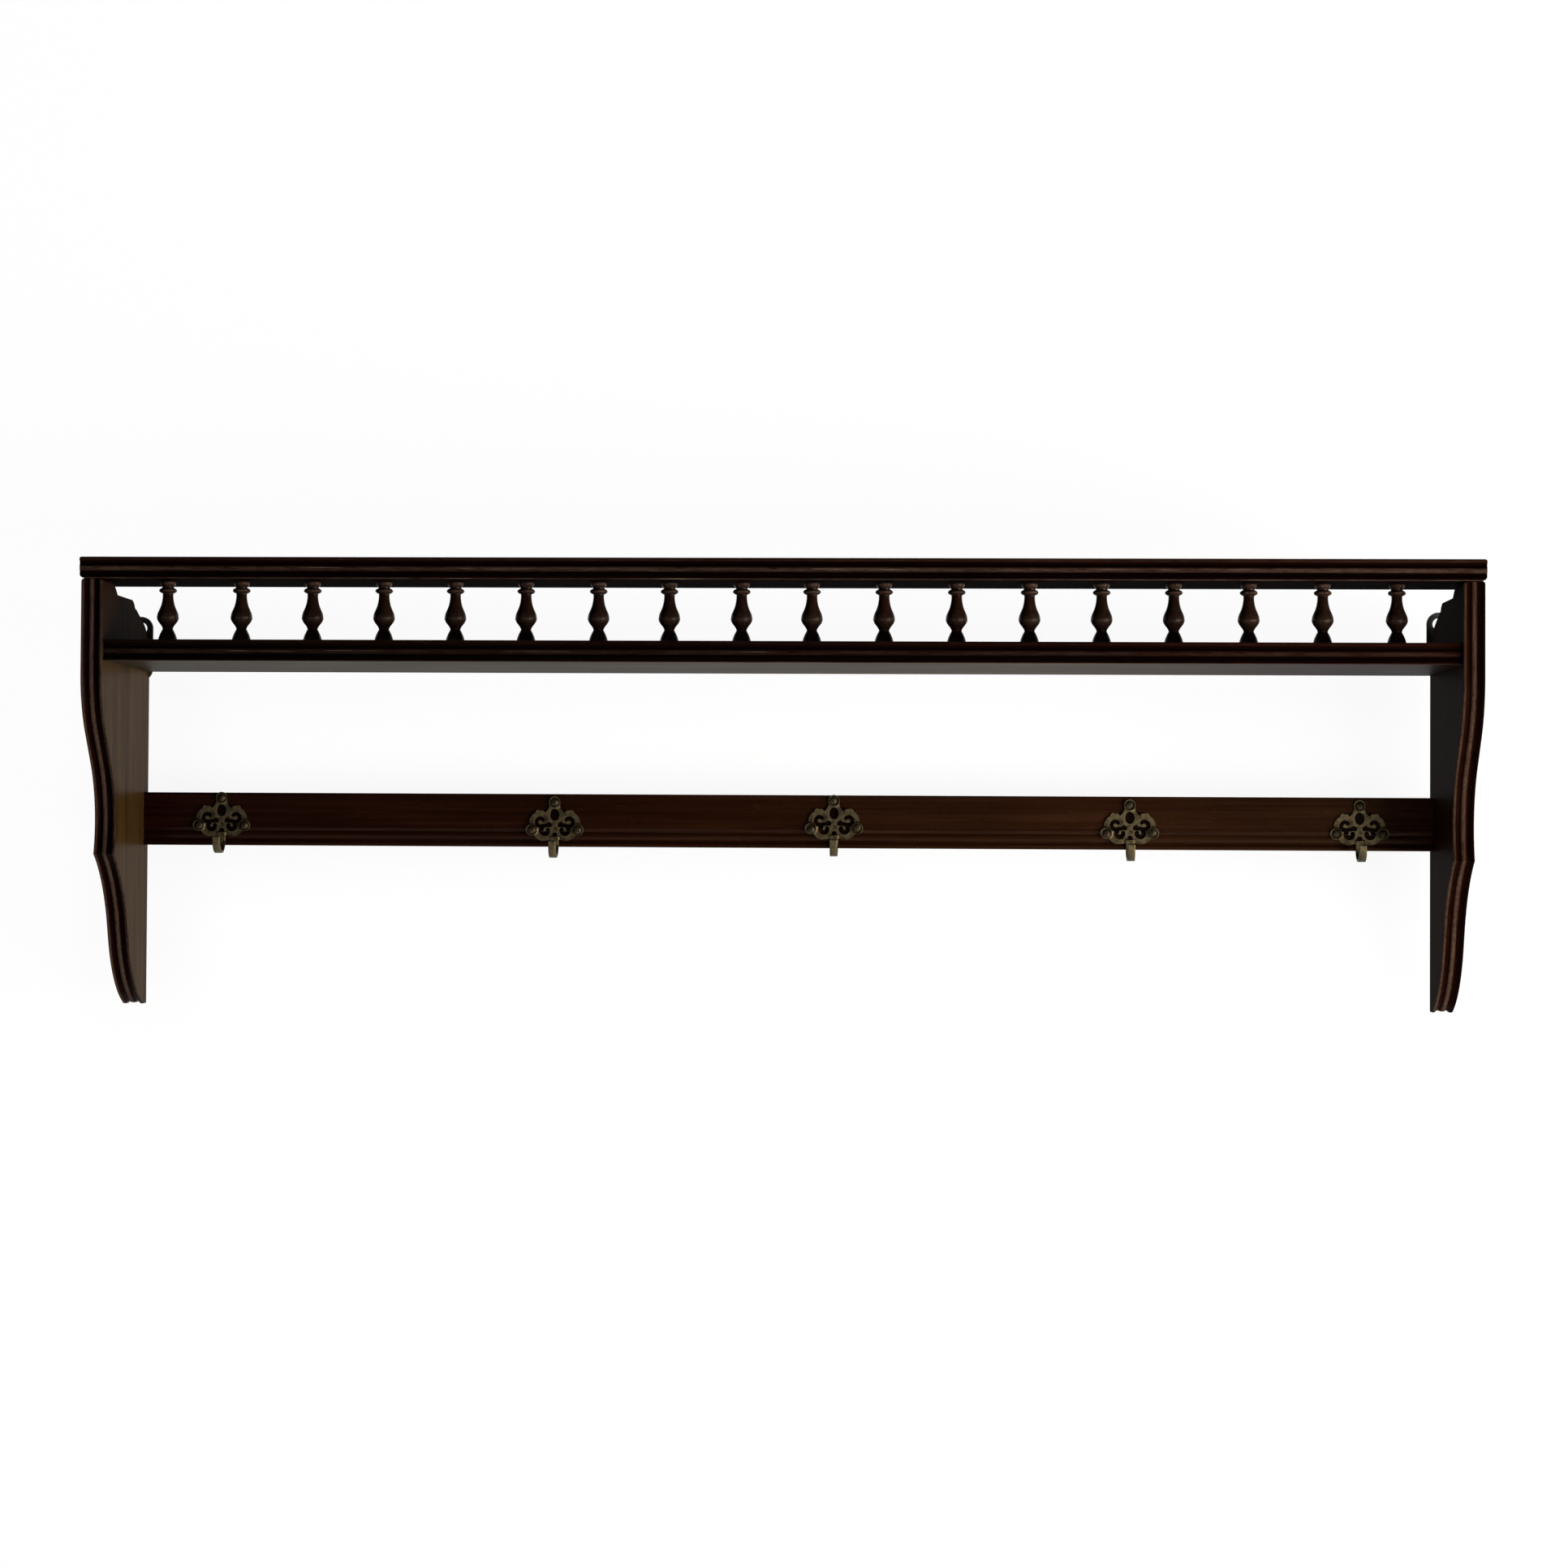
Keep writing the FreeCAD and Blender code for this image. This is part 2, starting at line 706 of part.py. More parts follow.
def hook_strap():
    """The flat strap of a hook, bent into a J with its tip rolled outwards, in the hook's own frame."""
    outer = strap_bend_radius
    inner = strap_bend_radius - strap_thickness
    near = strap_roll_radius
    far = strap_roll_radius + strap_thickness
    roll = math.radians(strap_roll_angle)
    tip_turn = roll + strap_thickness / (near + far)
    half_turn = math.pi

    def bend(turn, radius):
        return Vector(0, radius * math.cos(turn) - outer, radius * math.sin(turn) - strap_bend_drop)

    def tip(turn, radius):
        out = radius * math.cos(turn) - 2 * outer - near
        return Vector(0, out, radius * math.sin(turn) - strap_bend_drop)

    edges = chain([
        [bend(0, outer), bend(-half_turn / 2, outer), bend(-half_turn, outer)],
        [tip(0, near), tip(roll / 2, near), tip(roll, near)],
        [tip(roll, near), tip(tip_turn, (near + far) / 2), tip(roll, far)],
        [tip(roll, far), tip(roll / 2, far), tip(0, far)],
        [bend(-half_turn, inner), bend(-half_turn / 2, inner), bend(0, inner)],
    ])
    edges += polyline([
        bend(0, inner), Vector(0, -strap_thickness, -strap_root_drop),
        Vector(0, 0, -strap_root_drop), bend(0, outer),
    ])
    bar = face_of(edges).extrude(along_x * strap_root_width)
    bar.translate(along_x * (-strap_root_width / 2))

    # Narrower towards the tip
    front = -2 * outer - far
    taper = Part.Face(Part.makePolygon([
        Vector(-strap_root_width / 2, 0, 0), Vector(-strap_tip_width / 2, front, 0),
        Vector(strap_tip_width / 2, front, 0), Vector(strap_root_width / 2, 0, 0),
        Vector(-strap_root_width / 2, 0, 0),
    ]))
    taper.translate(along_z * -(strap_bend_drop + outer + cut_overrun))
    bar = bar.common(taper.extrude(along_z * (strap_bend_drop + outer + 2 * cut_overrun)))
    sides = [face for face in bar.Faces if abs(face.normalAt(0, 0).x) > math.sqrt(0.5)]
    return bar.makeFillet(strap_arris, [edge for face in sides for edge in face.Edges])


def coat_hook(number):
    """One cast hook: pierced plate and strap, with its three screw holes."""
    holes = [screw_shank(spot, metal_clearance) for spot in hook_screw_spots()]
    hook = hook_plate().fuse(hook_strap()).cut(holes).removeSplitter()
    hook.Placement = hook_turn(number)
    return hook


def build():
    """Every piece of the shelf by name."""
    parts = {
        "side_panel_left": side_panel("left"),
        "side_panel_right": side_panel("right"),
        "top_rail": top_rail(),
        "shelf_board": shelf_board(),
        "hook_rail": hook_rail(),
        "hanger_plate_left": hanger_plate("left"),
        "hanger_plate_right": hanger_plate("right"),
        "hanger_screws": Part.makeCompound([
            hanger_screw(place, 0) for side in side_signs for place in hanger_screw_places(side)
        ]),
    }
    for kind, name in enumerate(("shelf_dowels", "rail_dowels", "top_dowels")):
        ends = [dowels(sign)[kind] for sign in side_signs.values()]
        parts[name] = Part.makeCompound(sum(ends, []))
    for number, x in enumerate(spindle_places(), 1):
        parts[f"spindle_{number:02d}"] = spindle(x)
    for number in range(len(hook_places)):
        parts[f"hook_{number + 1}"] = coat_hook(number)
        parts[f"hook_screws_{number + 1}"] = Part.makeCompound([
            hook_screw(place, first_slot_angle + slot_angle_step * (3 * number + turn))
            for turn, place in enumerate(hook_screw_places(number))
        ])
    return parts


os.makedirs("parts", exist_ok=True)
for name, shape in build().items():
    shape.exportStep(f"parts/{name}.step")
    print(name, len(shape.Solids), shape.isValid(), round(shape.Volume, 1))
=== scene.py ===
"""Looks of the wall shelf with a spindle gallery and five brass coat hooks, around its CAD model.

Metres, +Z up. The shelf's back is the plane Y = 0, its front faces -Y and X runs to the right.
"""

import math

import bpy
from mathutils import Matrix, Vector


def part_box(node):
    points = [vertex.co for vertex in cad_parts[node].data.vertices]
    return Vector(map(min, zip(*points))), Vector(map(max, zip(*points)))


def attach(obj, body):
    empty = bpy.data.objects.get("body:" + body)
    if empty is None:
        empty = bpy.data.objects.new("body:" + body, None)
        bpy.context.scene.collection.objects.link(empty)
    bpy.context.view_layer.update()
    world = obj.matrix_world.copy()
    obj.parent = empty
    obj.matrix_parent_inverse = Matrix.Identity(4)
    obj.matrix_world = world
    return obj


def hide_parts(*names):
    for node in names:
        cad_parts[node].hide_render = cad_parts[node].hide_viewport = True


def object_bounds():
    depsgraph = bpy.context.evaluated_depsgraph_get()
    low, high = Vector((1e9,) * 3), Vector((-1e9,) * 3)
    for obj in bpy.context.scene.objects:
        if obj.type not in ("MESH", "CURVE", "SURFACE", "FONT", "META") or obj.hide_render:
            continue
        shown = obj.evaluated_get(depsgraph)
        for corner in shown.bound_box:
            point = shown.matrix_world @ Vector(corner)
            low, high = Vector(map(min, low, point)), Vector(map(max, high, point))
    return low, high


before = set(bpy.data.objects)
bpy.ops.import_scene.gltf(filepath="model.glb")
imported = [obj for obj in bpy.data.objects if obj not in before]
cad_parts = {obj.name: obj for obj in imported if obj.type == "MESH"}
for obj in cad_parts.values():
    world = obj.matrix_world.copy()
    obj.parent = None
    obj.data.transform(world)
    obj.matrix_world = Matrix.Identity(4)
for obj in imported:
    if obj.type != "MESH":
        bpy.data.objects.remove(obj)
cad_low, cad_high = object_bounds()

# Camera, in the photograph's square frame: yaw, pitch and roll in radians, lens and sensor in mm
camera_place = (0.09952, -2.66953, -0.02834)
camera_yaw = 0.0374
camera_pitch = 0.0221
camera_roll = -0.0053
camera_lens = 75.38
camera_sensor = 36.0

# Stage: a pale wall a little behind the shelf that sweeps down into a pale floor. It is white to
# the eye and in reflections, and a little less white in a halo of painted shade close round the shelf.
wall_gap = 0.028
floor_drop = 0.62
sweep_radius = 0.30
sweep_steps = 24
stage_reach = 4.0
stage_tone = (0.85, 0.85, 0.85, 1)
stage_share = 0.94
stage_white = 1.03
halo_reach = 0.075
halo_white = 0.90
halo_samples = 6

# Light: name, place, size, power in watts, colour
room_tone = (0.04, 0.04, 0.04, 1)
lamps = [
    ("side_lamp", (1.75, -0.72, -0.30), 0.5, 33.0, (1.0, 0.97, 0.93)),
    ("front_lamp", (1.30, -1.35, -0.42), 0.7, 23.0, (1.0, 0.97, 0.93)),
    ("fill_lamp", (-1.5, -2.4, 0.9), 1.6, 3.0, (0.96, 0.98, 1.0)),
    ("top_lamp", (0.0, -0.20, 2.6), 1.4, 24.0, (1.0, 1.0, 1.0)),
    ("back_lamp", (-0.8, 2.4, 0.7), 1.2, 220.0, (1.0, 1.0, 1.0)),
]

# Stains: the darkest streaks, the body and the lightest streaks of each
stain_soot = ((0.0012, 0.0004, 0.0002, 1), (0.0026, 0.0008, 0.0003, 1), (0.0055, 0.0020, 0.0008, 1))
stain_dark = ((0.0035, 0.0004, 0.0002, 1), (0.0085, 0.0012, 0.0004, 1), (0.0170, 0.0038, 0.0014, 1))
stain_brown = ((0.0050, 0.0014, 0.0005, 1), (0.0110, 0.0034, 0.0012, 1), (0.0210, 0.0085, 0.0035, 1))
stain_amber = ((0.0125, 0.0036, 0.0012, 1), (0.0235, 0.0082, 0.0030, 1), (0.0375, 0.0155, 0.0066, 1))

# Other colours of the wood: two thin stains that partly paint reflection and light, scraped wood,
# rubbed crests with painted highlight, dirt with painted shade, and the shine's tint
pale_stain_and_reflection = (0.088, 0.068, 0.038, 1)
thin_stain_and_light = (0.074, 0.044, 0.012, 1)
bare_colour = (0.300, 0.230, 0.170, 1)
worn_and_highlight_colour = (0.086, 0.055, 0.040, 1)
pore_dirt_and_shade_colour = (0.0014, 0.0005, 0.0004, 1)
shine_tone = (1.0, 0.86, 0.68, 1)

# Woods: the two stains, the second one's share at the shelf's left and right end, which also paints
# light and shade along X, the strength of the shine, and how worn and highlighted the crests are
cap_look = {"stains": (stain_dark, stain_soot), "fade": (0.0, 0.5), "shine": 0.007, "wear_and_highlight": 1.0}
shelf_look = {"stains": (stain_soot, stain_dark), "fade": (0.0, 1.0), "shine": 0.011, "wear_and_highlight": 0.35}
rail_look = {"stains": (stain_dark, stain_amber), "fade": (0.05, 1.0), "shine": 0.08, "wear_and_highlight": 0.3}
spindle_look = {"stains": (stain_dark, stain_brown), "fade": (0.4, 0.8), "shine": 0.10, "wear_and_highlight": 1.0}
left_look = {"stains": (stain_dark, stain_brown), "fade": (0.0, 0.5), "shine": 0.0065, "wear_and_highlight": 3.0}
right_look = {"stains": (stain_dark, stain_brown), "fade": (0.0, 0.5), "shine": 0.0014, "wear_and_highlight": 1.3}

# Undersides of the boards: how pale (a thin stain that partly paints reflection), how matt and how
# much painted shade darkens them, each 0 to 1
cap_under = {"pale_reflection": 0.0, "matt": 1.0, "painted_shade": 1.0}
shelf_under = {"pale_reflection": 0.55, "matt": 0.3, "painted_shade": 0.0}

# Inner faces of the end boards: the way that they look along X, how thin the stain (on the left
# board's lit face partly painted light), how much painted shade darkens them (the right board's,
# which looks away from the lamps) and how matt they are below the shelf, and how worn the left and
# the right lip of the front are (the left lip's wear partly painted highlight, the right lip's lack
# of it painted shade)
left_inside = {"way": 1.0, "thin": 0.55, "painted_shade": 0.0, "matt": 0.1, "lips": (1.0, 0.3)}
right_inside = {"way": -1.0, "thin": 0.10, "painted_shade": 0.65, "matt": 0.3, "lips": (0.8, 0.0)}
# Painted shade: less of the thin stain shows on the inner faces above the shelf
gallery_thin_in_shade = 0.10
gallery_matt = 0.5

# Noise drawn out along the grain: features per metre along and across it, detail and roughness
streak_noise = (7.0, 380.0, 5.0, 0.6)
band_noise = (2.2, 60.0, 3.0, 0.55)
patch_noise = (9.0, 26.0, 4.0, 0.55)
pore_noise = (90.0, 2400.0, 2.0, 0.55)
fleck_noise = (70.0, 700.0, 4.0, 0.7)
chip_noise = (14.0, 60.0, 3.0, 0.55)
scrape_noise = (14.0, 900.0, 3.0, 0.55)
smear_noise = (30.0, 90.0, 4.0, 0.55)
dowel_noise = (40.0, 1400.0, 4.0, 0.55)

# How the noise shows in the wood: places and stops of (place, grey) on ramps, and shares
streak_share = 0.75
stain_places = (0.30, 0.50, 0.72)
fade_swing = 0.4
patch_stops = [(0.42, 0.0), (0.75, 0.4)]
cover_stops = [(0.34, 0.25), (0.62, 1.0)]
cover_patch_stops = [(0.38, 1.0), (0.70, 0.65)]
pore_stops = [(0.60, 0.0), (0.75, 0.2)]
chip_swing = 0.5
chip_base = 0.45
rub_and_highlight_places = (0.18, 0.48)
scrape_places = (0.62, 0.68)
edge_stops = [(0.80, 0.0), (0.95, 1.0)]
dirt_and_shade_cover = 0.9
rub_and_highlight_cover = 0.7
scrape_cover = 0.7

# Surface of the wood: roughness and what adds to it, relief of each noise, depth of the bumps
wood_ior = 1.45
wood_roughness = 0.24
smear_roughness = 0.06
rub_roughness = 0.20
dull_roughness = 0.65
streak_relief = 0.6
pore_relief = -0.5
fleck_relief = 0.08
wood_bump = {"Strength": 0.30, "Distance": 0.00015}

# Wear and painted highlight, and dirt and painted shade, over the reeds of a lying board, from its
# lower to its upper edge
lying_wear_and_highlight = [
    (0.00, 1.0), (0.02, 0.9), (0.05, 0.0), (0.33, 0.0), (0.40, 0.7), (0.50, 1.0), (0.55, 0.4),
    (0.59, 0.0), (0.84, 0.0), (0.87, 0.4), (0.92, 0.2), (0.97, 0.4), (0.99, 1.0),
]
lying_dirt_and_shade = [
    (0.03, 0.0), (0.07, 0.8), (0.30, 0.8), (0.34, 1.0), (0.38, 0.0), (0.58, 0.0), (0.63, 1.0),
    (0.77, 0.9), (0.82, 0.0),
]

# Wear and painted highlight, and dirt and painted shade, over the reeds of a standing board between
# its lips, from its left to its right edge
standing_wear_and_highlight = [
    (0.15, 0.0), (0.38, 0.0), (0.44, 0.5), (0.50, 0.7), (0.56, 0.5), (0.62, 0.0), (0.85, 0.0),
]
standing_dirt_and_shade = [
    (0.13, 0.0), (0.18, 0.55), (0.34, 0.7), (0.40, 0.0), (0.60, 0.0), (0.66, 0.7), (0.82, 0.55),
]
lip_places = (0.10, 0.90)
lip_falls = (0.7, 0.6)
# Painted shade: the right lip darkens as much as it is not worn
lip_shade = 0.9

# Wear and painted highlight, and dirt and painted shade, over a spindle, from the shelf to the top
# board; the lighter feet are painted light
spindle_wear_and_highlight = [
    (0.0, 0.6), (0.06, 0.3), (0.20, 0.15), (0.30, 0.35), (0.405, 0.75), (0.43, 0.30), (0.60, 0.20),
    (0.79, 0.0), (0.835, 0.5), (0.855, 1.0), (0.88, 0.5), (0.91, 0.0), (0.945, 0.4), (0.967, 1.0),
    (0.99, 0.5),
]
spindle_dirt_and_shade = [
    (0.10, 0.0), (0.21, 0.1), (0.26, 0.0), (0.405, 0.0), (0.417, 0.8), (0.44, 0.0), (0.78, 0.0),
    (0.812, 0.9), (0.83, 0.0), (0.885, 0.0), (0.905, 1.0), (0.93, 0.0),
]

# Painted shade behind a hook: middle and half size of an oval as shares of the hook, and its soft edge
hook_shade_middle_shares = (0.50, 0.60)
hook_shade_size_shares = (0.36, 0.24)
hook_shade_edge = [(0.75, 1.0), (1.0, 0.0)]

# Painted shadow round a screw, out to ring_span times the radius of its head
ring_span = 2.0
ring_shade_stops = [(0.40, 0.4), (0.50, 1.0), (0.57, 0.9), (0.68, 0.0)]
ring_shade_cover = 0.85
screw_radius = 0.0032

# Limits of the masks: depth of a board's reeds, how far along a board its underside stays pale before
# a painted shadow of the right end board takes over, and the normals from which a face counts as
# under, front, not top and inner
reed_depth = 0.0026
end_shadow_places = (0.70, 0.93)
under_limit = -0.8
front_limit = -0.1
top_limit = 0.45
inner_limit = 0.97

# Metals: light and dark colour, roughness, patches of patina per metre, and how metallic they look
brass_look = {
    "light": (0.110, 0.085, 0.044, 1), "dark": (0.026, 0.019, 0.010, 1),
    "rough": 0.40, "patina_scale": 260.0, "metallic": 1.0,
}
screw_brass_look = {
    "light": (0.062, 0.046, 0.028, 1), "dark": (0.018, 0.013, 0.008, 1),
    "rough": 0.48, "patina_scale": 500.0, "metallic": 1.0,
}
black_look = {
    "light": (0.012, 0.012, 0.012, 1), "dark": (0.004, 0.004, 0.004, 1),
    "rough": 0.35, "patina_scale": 300.0, "metallic": 0.0,
}
steel_look = {
    "light": (0.35, 0.35, 0.35, 1), "dark": (0.12, 0.12, 0.12, 1),
    "rough": 0.30, "patina_scale": 600.0, "metallic": 1.0,
}
patina_detail = 5.0
patina_roughness = 0.6
patina_places = (0.32, 0.58)
patina_swing = 0.25
pit_scale = 2200.0
pit_stops = [(0.58, 0.0), (0.74, 0.6)]
pit_relief = -0.6
metal_bump = {"Strength": 0.5, "Distance": 0.00012}

# Dowels: their colour, how much darker their streaks are, and their surface
dowel_colour = (0.50, 0.36, 0.21, 1)
dowel_shade = 0.7
dowel_places = (0.3, 0.7)
dowel_roughness = 0.6
dowel_bump = {"Strength": 0.3, "Distance": 0.0002}

# Castings: how fine their new skin is, how it is smoothed and how much it is thinned, in metres
casting_voxel = 0.00032
casting_smoothness = 0.5
casting_smoothing = 5
casting_wear = 0.00028
hook_numbers = range(1, 6)

# Places that the masks need, from the frame
shelf_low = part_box("shelf_board")[0].z
shelf_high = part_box("shelf_board")[1].z
board_thickness = shelf_high - shelf_low
gallery_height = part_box("top_rail")[0].z - shelf_high

axes = {"X": 0, "Y": 1, "Z": 2}


def new_material(name):
    """An empty material and its node tree."""
    material = bpy.data.materials.new(name)
    material.use_nodes = True
    tree = material.node_tree
    tree.nodes.clear()
    return material, tree


def add(tree, kind, inputs=None, **settings):
    """A shader node with its settings, and its inputs as values or as sockets to join."""
    node = tree.nodes.new("ShaderNode" + kind)
    for key, value in settings.items():
        setattr(node, key, value)
    for key, value in (inputs or {}).items():
        if isinstance(value, bpy.types.NodeSocket):
            tree.links.new(value, node.inputs[key])
        else:
            node.inputs[key].default_value = value
    return node


def maths(tree, operation, *values, clamp=False):
    """The result of one sum, product or other step between values or sockets."""
    node = add(tree, "Math", dict(enumerate(values)), operation=operation, use_clamp=clamp)
    return node.outputs[0]


def ramp(tree, value, stops):
    """A grey or colour looked up along stops of (place, grey or colour)."""
    node = add(tree, "ValToRGB", {"Fac": value})
    elements = node.color_ramp.elements
    while len(elements) < len(stops):
        elements.new(1.0)
    for element, (place, tone) in zip(elements, stops):
        element.position = place
        element.color = tone if isinstance(tone, tuple) else (tone, tone, tone, 1)
    return node.outputs["Color"]


def blend(tree, share, first, second):
    """Two colours mixed by a share."""
    node = add(tree, "Mix", {"Factor": share, 6: first, 7: second}, data_type="RGBA")
    return node.outputs[2]


def cloud(tree, vector, scale, detail, roughness=0.55):
    """Noise between 0 and 1, with scale in features per metre for each axis."""
    stretched = add(tree, "Mapping", {"Vector": vector, "Scale": scale}).outputs[0]
    node = add(tree, "TexNoise", {
        "Vector": stretched, "Scale": 1.0, "Detail": detail, "Roughness": roughness,
    })
    return node.outputs["Fac"]


def fibres(tree, position, grain, noise):
    """Noise drawn out along the axis of the grain."""
    along, across, detail, roughness = noise
    scale = [across, across, across]
    scale[axes[grain]] = along
    return cloud(tree, position, scale, detail, roughness)


def span(tree, value, low, high):
    """A value's place between low and high, held between 0 and 1."""
    node = add(tree, "MapRange", {"Value": value, "From Min": low, "From Max": high}, clamp=True)
    return node.outputs[0]


def stained(tree, stains, fade, figure, patches, x):
    """The colour of two stains, the second one's share going from fade's first to its second value, which
    partly paints light and shade along X.
    """
    tones = [ramp(tree, figure, list(zip(stain_places, stain))) for stain in stains]
    # Partly painted light and shade: the change of stain along X also makes a board lighter or darker
    # towards its ends
    across = ramp(tree, span(tree, x, cad_low.x, cad_high.x), [(0.0, fade[0]), (1.0, fade[1])])
    swing = maths(tree, "MULTIPLY_ADD", patches, fade_swing, -fade_swing / 2)
    colour = blend(tree, maths(tree, "ADD", across, swing, clamp=True), tones[0], tones[1])
    return blend(tree, ramp(tree, patches, patch_stops), colour, stain_dark[0])


def wood(name, grain, masks, stains, fade, shine, wear_and_highlight, bare=pale_stain_and_reflection):
    """Stained and rubbed wood. masks(tree, places, sides) gives wear, dark, pale and dull, each 0 to 1.

    Wear rubs the crests and also paints highlights on them, dark is dirt and painted shade in the
    grooves, under the cap, on the right end board's inner face and behind the hooks, pale shows a thin
    stain that partly paints reflection and light, and dull is a surface that the polish never reached.
    """
    material, tree = new_material(name)
    coordinates = add(tree, "TexCoord").outputs
    position = coordinates["Object"]
    places = add(tree, "SeparateXYZ", {"Vector": position}).outputs
    sides = add(tree, "SeparateXYZ", {"Vector": coordinates["Normal"]}).outputs
    wear, dark, pale, dull = masks(tree, places, sides)

    streaks = fibres(tree, position, grain, streak_noise)
    bands = fibres(tree, position, grain, band_noise)
    patches = fibres(tree, position, grain, patch_noise)
    pores = fibres(tree, position, grain, pore_noise)
    flecks = fibres(tree, position, grain, fleck_noise)
    chips = fibres(tree, position, grain, chip_noise)
    scrapes = fibres(tree, position, grain, scrape_noise)
    smears = fibres(tree, position, grain, smear_noise)

    softer = maths(tree, "MULTIPLY", bands, 1 - streak_share)
    figure = maths(tree, "MULTIPLY_ADD", streaks, streak_share, softer)
    colour = stained(tree, stains, fade, figure, patches, places[0])
    cover = ramp(tree, figure, cover_stops)
    cover = maths(tree, "MULTIPLY", cover, ramp(tree, patches, cover_patch_stops))
    colour = blend(tree, maths(tree, "MULTIPLY", pale, cover), colour, bare)
    colour = blend(tree, ramp(tree, pores, pore_stops), colour, pore_dirt_and_shade_colour)
    # Painted shade with some dirt: the dark mask puts a near-black colour in the grooves and where shade
    # falls
    colour = blend(tree, maths(tree, "MULTIPLY", dark, dirt_and_shade_cover), colour, pore_dirt_and_shade_colour)

    spread = maths(tree, "MULTIPLY", flecks, maths(tree, "MULTIPLY_ADD", chips, chip_swing, chip_base))
    spread = ramp(tree, spread, [(rub_and_highlight_places[0], 0.0), (rub_and_highlight_places[1], wear_and_highlight)])
    rubbed_and_highlit = maths(tree, "MULTIPLY", wear, spread, clamp=True)
    # Painted highlight: the rubbed crests' lighter colour also stands for the lamps' highlights
    colour = blend(tree, maths(tree, "MULTIPLY", rubbed_and_highlit, rub_and_highlight_cover), colour, worn_and_highlight_colour)
    most = min(wear_and_highlight, 1.0) * scrape_cover
    scraped = ramp(tree, scrapes, [(scrape_places[0], 0.0), (scrape_places[1], most)])
    edge = ramp(tree, wear, edge_stops)
    colour = blend(tree, maths(tree, "MULTIPLY", edge, scraped), colour, bare_colour)

    rough = maths(tree, "MULTIPLY_ADD", smears, smear_roughness, wood_roughness)
    rough = maths(tree, "MULTIPLY_ADD", rubbed_and_highlit, rub_roughness, rough)
    rough = maths(tree, "MULTIPLY_ADD", dull, dull_roughness, rough, clamp=True)
    relief = maths(tree, "MULTIPLY", pores, pore_relief)
    relief = maths(tree, "MULTIPLY_ADD", streaks, streak_relief, relief)
    relief = maths(tree, "MULTIPLY_ADD", flecks, fleck_relief, relief)
    bump = add(tree, "Bump", {"Height": relief, **wood_bump}).outputs[0]
    shader = add(tree, "BsdfPrincipled", {
        "Base Color": colour, "Roughness": rough, "Normal": bump, "IOR": wood_ior,
        "Specular IOR Level": shine, "Specular Tint": shine_tone,
    })
    add(tree, "OutputMaterial", {"Surface": shader.outputs[0]})
    return material


def board_masks(name, pale_reflection, matt, painted_shade):
    """The masks of a board along X, reeded on its front."""
    low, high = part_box(name)
    reeds_top = low.z + board_thickness

    def masks(tree, places, sides):
        across = span(tree, places[2], low.z, reeds_top)
        front = maths(tree, "LESS_THAN", places[1], low.y + reed_depth)
        below = maths(tree, "LESS_THAN", places[2], reeds_top)
        shown = maths(tree, "MULTIPLY", front, below)
        under = maths(tree, "LESS_THAN", sides[2], under_limit)
        along = span(tree, places[0], low.x, high.x)
        # Painted shadow: the underside's painted reflection fades out towards the right end board
        end_shadowed = ramp(tree, along, [(end_shadow_places[0], pale_reflection), (end_shadow_places[1], 0.0)])
        wear = maths(tree, "MULTIPLY", ramp(tree, across, lying_wear_and_highlight), shown)
        dark = maths(tree, "MULTIPLY", ramp(tree, across, lying_dirt_and_shade), shown)
        # Painted shade darkens the underside
        dark = maths(tree, "MULTIPLY_ADD", under, painted_shade, dark, clamp=True)
        pale = maths(tree, "MULTIPLY", under, end_shadowed)
        dull = maths(tree, "MULTIPLY", under, matt)
        return wear, dark, pale, dull

    return masks


def rail_masks(tree, places, sides):
    """The masks of the hook rail, with painted shade behind the pierced hooks."""
    nearest = None
    for number in hook_numbers:
        low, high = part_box("hook_%d" % number)
        parts = []
        for axis, middle, size in zip((0, 2), hook_shade_middle_shares, hook_shade_size_shares):
            length = high[axis] - low[axis]
            apart = maths(tree, "SUBTRACT", places[axis], low[axis] + middle * length)
            parts.append(maths(tree, "POWER", maths(tree, "DIVIDE", apart, size * length), 2.0))
        away = maths(tree, "ADD", parts[0], parts[1])
        nearest = away if nearest is None else maths(tree, "MINIMUM", nearest, away)
    # Painted shade: darkens the rail seen through the hooks' piercings
    return 0.0, ramp(tree, nearest, hook_shade_edge), 0.0, 0.0


